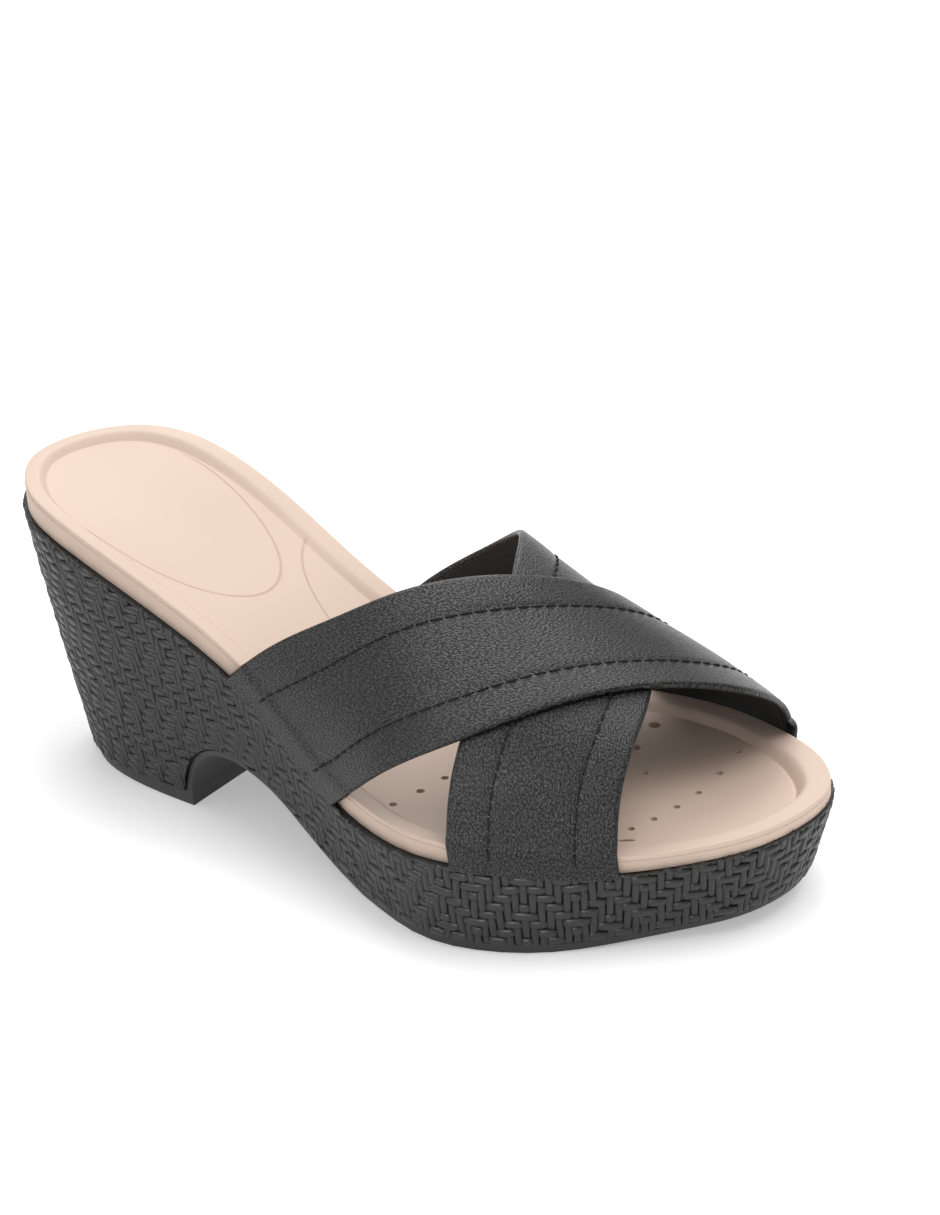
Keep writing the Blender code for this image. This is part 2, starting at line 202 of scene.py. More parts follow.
def spline(knots, values, at):
    """The natural cubic spline through a table's rows, read at the places in at."""
    spans = np.diff(knots)
    slopes = np.diff(values) / spans
    system = np.eye(len(knots))
    right = np.zeros(len(knots))
    for row in range(1, len(knots) - 1):
        system[row, row - 1 : row + 2] = spans[row - 1], 2 * (spans[row - 1] + spans[row]), spans[row]
        right[row] = 6 * (slopes[row] - slopes[row - 1])
    bend = np.linalg.solve(system, right)
    span = np.clip(np.searchsorted(knots, at) - 1, 0, len(spans) - 1)
    width = spans[span]
    behind = (at - knots[span]) / width
    ahead = 1 - behind
    cubic = (ahead**3 - ahead) * bend[span] + (behind**3 - behind) * bend[span + 1]
    return ahead * values[span] + behind * values[span + 1] + cubic * width**2 / 6


def last_share(name, along):
    """A column of the last, read at shares of its length."""
    return spline(column(LAST, LAST_COLUMNS, "along"), column(LAST, LAST_COLUMNS, name), np.asarray(along))


def edge_height(along):
    """Height of the footbed's edge over the floor."""
    rise = last_share("rise", along) * (HEEL_HEIGHT - PLATFORM_HEIGHT)
    return rise + last_share("level", along) * PLATFORM_HEIGHT


def joint_height(along):
    """Height where the footbed's side meets the unit."""
    return edge_height(along) - last_share("side", along) * SIDE_HEIGHT


def along_of(turn):
    """Share of the length at a turn: 0 is the heel, -1 and 1 the toe, and minus is the lateral side."""
    return (1 - np.cos(np.pi * turn)) / 2


def turn_of(along):
    """The turn on the medial side at a share of the length."""
    return np.arccos(np.clip(1 - 2 * np.asarray(along), -1, 1)) / np.pi


def outline(turn):
    """The footbed's edge in plan, from the tip of the heel."""
    turns = turn_of(column(LAST, LAST_COLUMNS, "along"))
    lateral = -column(LAST, LAST_COLUMNS, "lateral") * BALL_WIDTH
    medial = column(LAST, LAST_COLUMNS, "medial") * BALL_WIDTH
    knots = np.concatenate([-turns[:0:-1], turns])
    sides = np.concatenate([lateral[:0:-1], medial])
    wrapped = 4
    knots = np.concatenate([knots[-wrapped - 1 : -1] - 2, knots, knots[1 : wrapped + 1] + 2])
    sides = np.concatenate([sides[-wrapped - 1 : -1], sides, sides[1 : wrapped + 1]])
    return np.stack([along_of(turn) * FOOTBED_LENGTH, spline(knots, sides, turn)], axis=-1)


def inward_of(turn):
    """The direction into the shoe, square to the outline."""
    way = outline(turn + NEARBY) - outline(turn - NEARBY)
    inward = np.stack([way[..., 1], -way[..., 0]], axis=-1)
    return inward / np.linalg.norm(inward, axis=-1)[..., None]


all_turns = np.linspace(-1, 1, OUTLINE_STEPS + 1)
all_edge = outline(all_turns)
SHIFT = np.array([FOOTBED_LOW.x, FOOTBED_LOW.y - all_edge[:, 1].min(), 0])
all_girth = np.concatenate([[0], np.cumsum(np.linalg.norm(np.diff(all_edge, axis=0), axis=1))])


def wall_point(girth, height, out):
    """A point on the unit's side: girth runs round the outline, and out lifts it off the wall."""
    turn = np.interp(girth % all_girth[-1], all_girth, all_turns)
    along = along_of(turn)
    bottom = np.maximum(last_share("spring", along), 0) * TOE_SPRING
    top = joint_height(along)
    share = np.clip((height - bottom) / (top - bottom), 0, 1.05)
    lean = last_share("inset", along) * HEEL_UNDERCUT * np.clip(1 - share, 0, 1) ** 1.1
    inset = lean - last_share("proud", along) * EDGE_PROUD * share
    plan = outline(turn) + inward_of(turn) * (inset - out)[..., None]
    return np.concatenate([plan, np.asarray(height)[..., None]], axis=-1) + SHIFT


unit = merged_copy("platform", "platform_unit")
round_edges(unit, 0.0003, math.radians(60))

# How high and low the wall goes all round. Its lower edge, with the notch, is found with rays into the
# unit.
wall_girths = np.arange(0, all_girth[-1], WALL_STEP)
ray_girths, ray_heights = np.meshgrid(wall_girths, WALL_HEIGHTS, indexing="ij")
ray_starts = wall_point(ray_girths, ray_heights, 0.002 + 0 * ray_heights)
ray_ends = wall_point(ray_girths, ray_heights, -0.002 + 0 * ray_heights)


def lowest_wall(number):
    """The lowest height at which the unit has its side, at one place round it."""
    for step, height in enumerate(WALL_HEIGHTS):
        start = Vector(ray_starts[number, step])
        way = Vector(ray_ends[number, step]) - start
        if unit.ray_cast(start, way, distance=way.length)[0]:
            return height
    return WALL_HEIGHTS[-1]


wall_along = along_of(np.interp(wall_girths, all_girth, all_turns))
wall_low = np.array([lowest_wall(number) for number in range(len(wall_girths))]) + 0.00015
wall_top = joint_height(wall_along) + np.array([chance.uniform(-RAGGED, RAGGED) for _ in wall_girths])
wall_floor = np.maximum(last_share("spring", wall_along), 0) * TOE_SPRING


def heel_share(girth):
    """1 on the heel and 0 on the forefoot."""
    return np.clip((0.47 - along_of(np.interp(girth, all_girth, all_turns))) / 0.12, 0, 1)


# The columns of the plait
columns = [0.0]
while columns[-1] < all_girth[-1]:
    columns.append(columns[-1] + STRIP_FOREFOOT + (STRIP_HEEL - STRIP_FOREFOOT) * heel_share(columns[-1]))
columns = np.array(columns) * all_girth[-1] / columns[-1]
COLUMNS = len(columns) - 1
ROWS = int(HEEL_HEIGHT / ROW) + 1


def zigzag(length, fewest, most):
    """A random walk of single steps that turns back after a few of them."""
    steps = [0]
    way = 1
    while len(steps) < length:
        for _ in range(chance.randint(fewest, most)):
            steps.append(steps[-1] + way)
        way = -way
    return steps[:length]


# Which strips lie on top in each cell: the rows' or the columns'. It is a twill, over two and under two on
# the forefoot and over three and under two on the heel, and it turns back every few columns or rows.
by_row = zigzag(ROWS, 3, 4)
by_column = zigzag(COLUMNS, 4, 6)
row_on_top = np.zeros((COLUMNS, ROWS), dtype=bool)
for number in range(COLUMNS):
    on_heel = along_of(np.interp(columns[number], all_girth, all_turns)) < 0.42
    for row in range(ROWS):
        step = number + by_row[row] if on_heel else row + by_column[number]
        every, over = HEEL_TWILL if on_heel else FOREFOOT_TWILL
        row_on_top[number, row] = step % every < over


def runs(line):
    """The places and lengths of the True runs in a line of cells."""
    padded = np.concatenate([[0], line.astype(int), [0]])
    starts = np.flatnonzero(np.diff(padded) == 1)
    return zip(starts, np.flatnonzero(np.diff(padded) == -1) - starts)


# Each strip's middle and half sizes on the wall, and whether it lies along a row
strips = []
for row in range(ROWS):
    for first, count in runs(row_on_top[:, row]):
        left, right = columns[first], columns[first + count]
        overlap = FOREFOOT_OVERLAP + (HEEL_OVERLAP - FOREFOOT_OVERLAP) * heel_share(left)
        half = (right - left) / 2 * (1 + overlap / count)
        strips.append(((left + right) / 2, (row + 0.5) * ROW, half, ROW / 2, True))
for number in range(COLUMNS):
    for first, count in runs(~row_on_top[number]):
        middle = (columns[number] + columns[number + 1]) / 2
        half = ROW / 2 * (count + UPRIGHT_OVERLAP)
        half_width = (columns[number + 1] - columns[number]) / 2
        strips.append((middle, (first + count / 2) * ROW, half_width, half, False))

# One strip of the relief, with steep flanks and rounded ends that dive, laid on the wall for each strip
LONG = np.array([-1, -0.84, -0.5, 0, 0.5, 0.84, 1])
SHORT = np.array([-1, -0.78, 0, 0.78, 1])
LONG_DROP = np.array([1.4, 0.24, 0.03, 0, 0.03, 0.24, 1.4])
SHORT_DROP = np.array([1.25, 0.13, 0, 0.13, 1.25])
long_at, short_at = (values.ravel() for values in np.meshgrid(LONG, SHORT, indexing="ij"))
crown = (1 - LONG_DROP[:, None] - SHORT_DROP[None, :]).ravel()
taper = 1 - 0.16 * np.abs(long_at) ** 4
cells = [(i * len(SHORT) + j) for i in range(len(LONG) - 1) for j in range(len(SHORT) - 1)]
strip_faces = np.array([(cell, cell + 1, cell + 1 + len(SHORT), cell + len(SHORT)) for cell in cells])
points = []
faces = []
# The height of each point on its strip, kept as the mask of painted shade between the strips
gap_shade_mix = []
for middle, height, half_girth, half_height, along_row in strips:
    level = height + SOLE_BAND + np.interp(middle, wall_girths, wall_floor)
    low, top = np.interp(middle, wall_girths, wall_low), np.interp(middle, wall_girths, wall_top)
    if level + half_height < low + ROW * 0.1 or level - half_height > top - ROW * 0.1:
        continue
    turn = chance.uniform(-0.08, 0.08)
    lift = (BRICK_HEIGHT if along_row else UPRIGHT_HEIGHT) * chance.uniform(0.8, 1.1)
    half_girth = half_girth * chance.uniform(1.0, 1.08)
    half_height = half_height * chance.uniform(1.0, 1.08)
    across, upward = (long_at, short_at * taper) if along_row else (short_at * taper, long_at)
    girth = middle + across * half_girth + turn * upward * half_height
    level = level + upward * half_height - turn * across * half_girth
    girth = girth + HEEL_LEAN * heel_share(middle) * (level - LEAN_LEVEL)
    level = np.clip(level, np.interp(girth, wall_girths, wall_low), np.interp(girth, wall_girths, wall_top))
    order = strip_faces if along_row else strip_faces[:, ::-1]
    faces.append(order[:, ::-1] + len(points) * len(crown))
    points.append((girth, level, np.maximum(crown, -0.15) * lift))
    gap_shade_mix.append(crown)
plait_points = wall_point(*(np.concatenate(values) for values in zip(*points)))
plait_faces = np.concatenate(faces).tolist()

# The ragged bead where the unit meets the footbed
BEAD_SIDES = 6
angles = 2 * np.pi * np.arange(BEAD_SIDES) / BEAD_SIDES
bead_size = BEAD_RADIUS * np.array([chance.uniform(0.5, 1.5) for _ in wall_girths])
bead_girths = np.repeat(wall_girths, BEAD_SIDES)
bead_out = (BEAD_OUT + bead_size[:, None] * np.cos(angles)).ravel()
bead_level = (joint_height(wall_along)[:, None] - 0.0003 + bead_size[:, None] * np.sin(angles)).ravel()
first = len(plait_points)
count = len(wall_girths)
for ring in range(count):
    after = (ring + 1) % count
    for side in range(BEAD_SIDES):
        onward = (side + 1) % BEAD_SIDES
        corners = (ring * BEAD_SIDES + side, after * BEAD_SIDES + side)
        corners += (after * BEAD_SIDES + onward, ring * BEAD_SIDES + onward)
        plait_faces.append([first + corner for corner in corners])
plait_points = np.concatenate([plait_points, wall_point(bead_girths, bead_level, bead_out)])
# The bead gets a middle share of the painted gap shade
gap_shade_mix.append(np.full(len(bead_girths), 0.7))
plait_mesh = bpy.data.meshes.new("plait")
plait_mesh.from_pydata(plait_points.tolist(), [], plait_faces)
plait_mesh.attributes.new("crown", "FLOAT", "POINT").data.foreach_set("value", np.concatenate(gap_shade_mix))
plait_mesh.update()
plait = bpy.data.objects.new("plait", plait_mesh)
bpy.context.collection.objects.link(plait)
select_only(plait)
bpy.ops.object.shade_smooth()

# Moulded polyurethane: black with a soft sheen. Its colour is painted near black low between the strips and
# lighter on their crowns: painted shade in the gaps between the strips.
plait_polyurethane, shader = new_material("moulded black polyurethane", "#262625", 0.42)
tree = plait_polyurethane.node_tree
place = add_node(tree, "ShaderNodeTexCoord").outputs["Object"]
grain = add_node(tree, "ShaderNodeTexNoise", {"Vector": place, "Scale": 1800, "Detail": 3})
height = grain.outputs["Fac"]
bump = add_node(tree, "ShaderNodeBump", {"Height": height, "Strength": 0.35, "Distance": 0.0002})
tree.links.new(bump.outputs["Normal"], shader.inputs["Normal"])
# Painted shade: the colour is mixed to near black where a point lies low, between the strips
gap_shade_at = add_node(tree, "ShaderNodeAttribute", attribute_name="crown")
tones = add_node(
    tree,
    "ShaderNodeMix",
    {"Factor": gap_shade_at.outputs["Fac"], 6: linear("#050505"), 7: linear("#1e1e1d")},
    data_type="RGBA",
)
tree.links.new(tones.outputs[2], shader.inputs["Base Color"])
plait.data.materials.append(plait_polyurethane)

# The ground between the strips: the same polyurethane, painted deeper black as shade between the strips.
unit_polyurethane, _ = new_material("black polyurethane ground", "#0e0e0e", 0.6)
unit.data.materials.append(unit_polyurethane)
for piece in (unit, plait):
    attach(piece, "root")
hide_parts("platform")


# Footbed. One piece of beige moulded foam, matt, with an upright side, a round raised rim and a sunk bed.
# An oval line marks the heel seat and a second one the arch, and small pinholes let the sole of the foot
# breathe.
BED_DEPTH = 0.0020
HEEL_CUP = 0.0018
BED_TURNS = 560
SPINE_REAR = 0.045
SPINE_FRONT = 0.205
BED_RINGS = 44

# The rim's width all round, at turns from the toe over the lateral side, the heel and the medial side to
# the toe
RIM_WIDTH = (
    (-1.00, 0.0079),
    (-0.75, 0.0069),
    (-0.50, 0.0060),
    (-0.25, 0.0057),
    (0.00, 0.0060),
    (0.22, 0.0077),
    (0.45, 0.0081),
    (0.65, 0.0085),
    (0.82, 0.0095),
    (1.00, 0.0079),
)

# The footbed's side and the rim's edge, from below: how far in, and how far under the edge's height. A fine
# groove runs round the side just under the edge.
EDGE = (
    (0.00004, 0.00160),
    (0.00022, 0.00140),
    (0.00022, 0.00125),
    (0.00000, 0.00105),
    (0.00003, 0.00040),
    (0.00016, 0.00012),
    (0.00050, 0.00001),
)

# The rim from its edge to the crease of the bed: share of the rim's width inwards, share of the bed's depth
# down
RIM = (
    (0.15, 0.00),
    (0.40, 0.01),
    (0.58, 0.03),
    (0.68, 0.08),
    (0.73, 0.17),
    (0.80, 0.37),
    (0.88, 0.66),
    (0.94, 0.90),
    (0.975, 1.03),
    (0.995, 1.07),
    (1.02, 1.02),
    (1.08, 1.00),
)

# The lines moulded into the bed: each is a stretch of an oval. centre and half sizes in plan, from the
# heel's tip, and the places along and across the shoe where it fades out.
HEEL_OVAL = {
    "centre": (0.036, -0.003),
    "half": (0.042, 0.025),
    "along": (0.026, 0.034),
    "across": (0.030, 0.034),
}
ARCH_OVAL = {
    "centre": (0.112, 0.030),
    "half": (0.042, 0.030),
    "along": (0.060, 0.065),
    "across": (0.0235, 0.0215),
}
LINE_HALF = 0.0004

# The pinholes and one short slot: x and y from the heel's tip, half sizes along and across, and turn in
# degrees
PINHOLES = (
    (0.2043, 0.0292, 0.0010, 0.0010, 0),
    (0.2060, 0.0167, 0.0010, 0.0010, 0),
    (0.2066, 0.0052, 0.0009, 0.0009, 0),
    (0.2056, -0.0038, 0.0009, 0.0009, 0),
    (0.2039, -0.0120, 0.0009, 0.0009, 0),
    (0.2017, -0.0191, 0.0009, 0.0009, 0),
    (0.1797, 0.0279, 0.0016, 0.0016, 0),
    (0.1817, 0.0151, 0.0014, 0.0014, 0),
    (0.1906, 0.0058, 0.0007, 0.0007, 0),
    (0.1468, -0.0321, 0.0011, 0.0011, 0),
    (0.1448, -0.0412, 0.0010, 0.0010, 0),
    (0.1482, -0.0233, 0.0010, 0.0010, 0),
    (0.1180, 0.0150, 0.0012, 0.0012, 0),
    (0.1210, 0.0050, 0.0011, 0.0011, 0),
    (0.1220, -0.0050, 0.0011, 0.0011, 0),
    (0.2035, -0.0246, 0.0024, 0.0005, 35),
)
HOLE_DEPTH = 0.0022


def bed_surface(x, y):
    """Height of the bed at places in plan, inside the rim."""
    cup = HEEL_CUP * np.exp(-(((x - 0.036) / 0.034) ** 2) - (((y + 0.002) / 0.016) ** 2))
    return edge_height(np.clip(x / FOOTBED_LENGTH, 0, 1)) - BED_DEPTH - cup


def closed_rings(rings):
    """Faces between rings of points that close on themselves."""
    size = len(rings[0])
    faces = []
    for ring in range(len(rings) - 1):
        for step in range(size):
            onward = (step + 1) % size
            here, there = ring * size, (ring + 1) * size
            faces.append((here + step, here + onward, there + onward, there + step))
    return faces


turns = -1 + 2 * np.arange(BED_TURNS) / BED_TURNS
edge = outline(turns)
inward = inward_of(turns)
along = along_of(turns)
rim_turns, rim_widths = (np.array(values) for values in zip(*RIM_WIDTH))
rim_width = spline(rim_turns, rim_widths, turns)
spine_x = np.clip(edge[:, 0], SPINE_REAR, SPINE_FRONT)
spine_share = spine_x / FOOTBED_LENGTH
spine_y = (outline(turn_of(spine_share))[:, 1] + outline(-turn_of(spine_share))[:, 1]) / 2
spine = np.column_stack([spine_x, spine_y])
rings = []
for share in (1, 0.4, 0):
    plan = edge + (spine - edge) * share
    rings.append(np.column_stack([plan, joint_height(plan[:, 0] / FOOTBED_LENGTH)]))
for inset, drop in EDGE:
    rings.append(np.column_stack([edge + inward * inset, edge_height(along) - drop]))
for in_by, down_by in RIM:
    plan = edge + inward * (in_by * rim_width)[:, None]
    level = edge_height(along) - down_by * BED_DEPTH
    sunk = edge_height(np.clip(plan[:, 0] / FOOTBED_LENGTH, 0, 1)) - down_by * BED_DEPTH
    rings.append(np.column_stack([plan, level + (sunk - level) * max(0, down_by)]))
bed_edge = rings[-1]
for ring in range(1, BED_RINGS + 1):
    share = ring / BED_RINGS
    plan = bed_edge[:, :2] + (spine - bed_edge[:, :2]) * share
    surface = bed_surface(plan[:, 0], plan[:, 1])
    start = bed_edge[:, 2] - bed_surface(bed_edge[:, 0], bed_edge[:, 1])
    rings.append(np.column_stack([plan, surface + start * (1 - share) ** 6]))
bed_mesh = bpy.data.meshes.new("footbed_foam")
bed_mesh.from_pydata((np.array(rings) + SHIFT).reshape(-1, 3).tolist(), [], closed_rings(rings))
footbed = bpy.data.objects.new("footbed_foam", bed_mesh)
bpy.context.collection.objects.link(footbed)
select_only(footbed)
bpy.ops.object.mode_set(mode="EDIT")
bpy.ops.mesh.select_all(action="SELECT")
bpy.ops.mesh.remove_doubles(threshold=MERGE)
bpy.ops.mesh.dissolve_degenerate(threshold=MERGE)
bpy.ops.mesh.normals_make_consistent(inside=False)
bpy.ops.object.mode_set(mode="OBJECT")

# The pinholes are bored with one set of pins
pins = []
for x, y, half_long, half_wide, turn in PINHOLES:
    top = float(bed_surface(np.array([x]), np.array([y]))[0])
    bpy.ops.object.select_all(action="DESELECT")
    bpy.ops.mesh.primitive_cylinder_add(
        vertices=20,
        radius=1,
        depth=2 * HOLE_DEPTH,
        location=Vector((x, y, top)) + Vector(SHIFT),
        rotation=(0, 0, math.radians(turn)),
        scale=(half_long, half_wide, 1),
    )
    pins.append(bpy.context.object)
for pin in pins:
    pin.select_set(True)
bpy.context.view_layer.objects.active = pins[0]
bpy.ops.object.join()
boring = footbed.modifiers.new("pinholes", "BOOLEAN")
boring.operation = "DIFFERENCE"
boring.object = pins[0]
select_only(footbed)
bpy.ops.object.modifier_apply(modifier=boring.name)
bpy.data.objects.remove(pins[0])
bpy.ops.object.shade_smooth_by_angle(angle=math.radians(40))

# Moulded foam: warm beige, matt and fine-pored. Two fine lines moulded into the bed are painted darker as
# shade.
footbed_foam, shader = new_material("moulded beige foam", "#d8c0af", 0.65)
tree = footbed_foam.node_tree
place = add_node(tree, "ShaderNodeTexCoord").outputs["Object"]
parts = add_node(tree, "ShaderNodeSeparateXYZ", {"Vector": place})
pores = add_node(tree, "ShaderNodeTexNoise", {"Vector": place, "Scale": 1500, "Detail": 3})
lines = []
for oval in (HEEL_OVAL, ARCH_OVAL):
    centre = (oval["centre"][0] + SHIFT[0], oval["centre"][1] + SHIFT[1], 0)
    flat = add_node(tree, "ShaderNodeVectorMath", {0: place, 1: (1, 1, 0)}, operation="MULTIPLY")
    off = add_node(tree, "ShaderNodeVectorMath", {0: flat.outputs[0], 1: centre}, operation="SUBTRACT")
    halves = (*oval["half"], 1)
    shared = add_node(tree, "ShaderNodeVectorMath", {0: off.outputs[0], 1: halves}, operation="DIVIDE")
    radius = add_node(tree, "ShaderNodeVectorMath", {0: shared.outputs[0]}, operation="LENGTH")
    apart = add_node(tree, "ShaderNodeMath", {0: radius.outputs["Value"], 1: 1}, operation="SUBTRACT")
    beside = add_node(tree, "ShaderNodeMath", {0: apart.outputs[0]}, operation="ABSOLUTE")
    half = LINE_HALF / min(oval["half"])
    line = add_node(
        tree,
        "ShaderNodeMapRange",
        {0: beside.outputs[0], 1: 0, 2: half, 3: 1, 4: 0},
        interpolation_type="SMOOTHSTEP",
    ).outputs[0]
    for axis, ends in (("X", "along"), ("Y", "across")):
        near, far = (value + SHIFT["XY".index(axis)] for value in oval[ends])
        fade = add_node(tree, "ShaderNodeMapRange", {0: parts.outputs[axis], 1: near, 2: far, 3: 0, 4: 1})
        if ends == "across" and far > near:
            fade.inputs[3].default_value = 1
            fade.inputs[4].default_value = 0
        faded = add_node(tree, "ShaderNodeMath", {0: line, 1: fade.outputs[0]}, operation="MULTIPLY")
        line = faded.outputs[0]
    lines.append(line)
both = add_node(tree, "ShaderNodeMath", {0: lines[0], 1: lines[1]}, operation="MAXIMUM").outputs[0]
# Painted shade: the foam is painted darker along the two lines, as in a groove's shade
groove_shade = add_node(
    tree,
    "ShaderNodeMix",
    {"Factor": both, 6: linear("#d8c0af"), 7: linear("#c8ab96")},
    data_type="RGBA",
)
tree.links.new(groove_shade.outputs[2], shader.inputs["Base Color"])
height = pores.outputs["Fac"]
fine = add_node(tree, "ShaderNodeBump", {"Height": height, "Strength": 0.12, "Distance": 0.0001})
sunk = add_node(
    tree,
    "ShaderNodeBump",
    {"Height": both, "Strength": 1.0, "Distance": 0.00015, "Normal": fine.outputs["Normal"]},
    invert=True,
)
tree.links.new(sunk.outputs["Normal"], shader.inputs["Normal"])
footbed.data.materials.append(footbed_foam)
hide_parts("footbed")
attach(footbed, "root")


# Straps. Two wide straps of black grained leather over a thin dark lining, their edges folded over and
# stitched down. They cross over the foot, and their ends go down outside the footbed and are glued in under
# it.
INSTEP_RISE = 0.0615
HANDLE_RISE = INSTEP_RISE / 0.75
STRAP_WALL = 0.0019
STRAP_WIDTH = 0.043
STRAP_TUCK = 0.02
STRAP_REACH = 0.0004
TOP_STRAP_RAMP = 0.17
CLEARANCE = 0.0003
SIDE_EASE = 0.0035
STRAP_ROWS = 150
STRAP_COLUMNS = 46
EDGE_STEPS = 6
SEAM_DIP = 0.00025
SEAM_HALF = 0.0009
PUFF = 0.00015

# The arch over the foot. lateral_handle and medial_handle: how high the arch's Bezier handles stand, as
# shares of the instep's rise over three quarters. lateral_lean and medial_lean: how far they lean inwards,
# as shares of the ball's width.
ARCH_COLUMNS = ("along", "lateral_handle", "medial_handle", "lateral_lean", "medial_lean")
ARCH = (
    (0.333, 0.910, 1.334, 0.023, -0.025),
    (0.458, 0.911, 1.330, 0.032, -0.052),
    (0.583, 0.824, 1.160, 0.034, -0.059),
    (0.708, 0.637, 0.782, 0.013, -0.018),
    (0.833, 0.609, 0.437, 0.007, 0.040),
    (0.958, 0.596, 0.173, 0.021, 0.080),
)

# The straps' edges. over: share of the way from the lateral to the medial side. The others: where each edge
# crosses it, as shares of the footbed's length.
STRAP_EDGE_COLUMNS = ("over", "top_rear", "top_front", "under_rear", "under_front")
STRAP_EDGES = (
    (0.0, 0.368, 0.539, 0.715, 0.868),
    (0.2, 0.496, 0.698, 0.703, 0.860),
    (0.4, 0.605, 0.805, 0.683, 0.842),
    (0.6, 0.676, 0.882, 0.629, 0.795),
    (0.8, 0.711, 0.890, 0.551, 0.723),
    (1.0, 0.704, 0.891, 0.400, 0.597),
)
SEAMS = {"top": (0.23, 0.73), "under": (0.28, 0.77)}


def arch_point(along, over):
    """A point of the last over the foot, at shares of the length and of the way over."""
    names = ARCH_COLUMNS
    rows = column(ARCH, names, "along")
    lateral_rise, medial_rise, lateral_lean, medial_lean = (
        spline(rows, column(ARCH, names, name), along) * size
        for name, size in zip(names[1:], (HANDLE_RISE, HANDLE_RISE, BALL_WIDTH, BALL_WIDTH))
    )
    turn = turn_of(along)
    lateral = outline(-turn)[..., 1] - CLEARANCE
    medial = outline(turn)[..., 1] + CLEARANCE
    base = joint_height(along)
    left = 1 - over
    first, second, third, fourth = left**3, 3 * over * left**2, 3 * over**2 * left, over**3
    side = (first + second) * lateral + (third + fourth) * medial
    side = side + second * lateral_lean - third * medial_lean
    height = base + second * lateral_rise + third * medial_rise
    beside = np.clip((edge_height(along) + CLEARANCE + SIDE_EASE - height) / SIDE_EASE, 0, 1)
    beside = beside * beside * (3 - 2 * beside)
    outside = np.where(over < 0.5, np.minimum(side, lateral), np.maximum(side, medial))
    side = side + beside * (outside - side)
    return np.stack([along * FOOTBED_LENGTH, side, height], axis=-1)


def strap_frame(kind, over, across):
    """Points and outward directions of a strap's inner face. over and across are arrays of one shape."""
    knots = column(STRAP_EDGES, STRAP_EDGE_COLUMNS, "over")
    over_in = np.clip(over, 0, 1)
    rear, front = (
        spline(knots, column(STRAP_EDGES, STRAP_EDGE_COLUMNS, kind + end), over_in)
        for end in ("_rear", "_front")
    )
    along = rear + (front - rear) * across
    here = arch_point(along, over_in)
    over_after, over_before = np.minimum(over_in + NEARBY, 1), np.maximum(over_in - NEARBY, 0)
    climb = arch_point(along, over_after) - arch_point(along, over_before)
    forward = arch_point(along + NEARBY, over_in) - arch_point(along - NEARBY, over_in)
    outward = np.cross(forward, climb)
    outward /= np.linalg.norm(outward, axis=-1)[..., None]
    return here, outward


def strap_lift(kind, over):
    """The top strap lies on the last at its ends and on the under strap where they cross."""
    if kind == "under":
        return 0 * over
    share = np.clip(np.minimum(over, 1 - over) / TOP_STRAP_RAMP, 0, 1)
    return (STRAP_WALL + 0.0001) * share * share * (3 - 2 * share)


def seam_relief(kind, across, width):
    """How the leather dips at a seam and swells between the seams."""
    relief = 0 * across
    for seam in SEAMS[kind]:
        relief = relief - SEAM_DIP * np.exp(-(((across - seam) * width / SEAM_HALF) ** 2))
    stops = (0,) + SEAMS[kind] + (1,)
    for low, high in zip(stops, stops[1:]):
        inside = np.clip((across - low) / (high - low), 0, 1)
        relief = relief + PUFF * np.sin(np.pi * inside) ** 0.7
    return relief


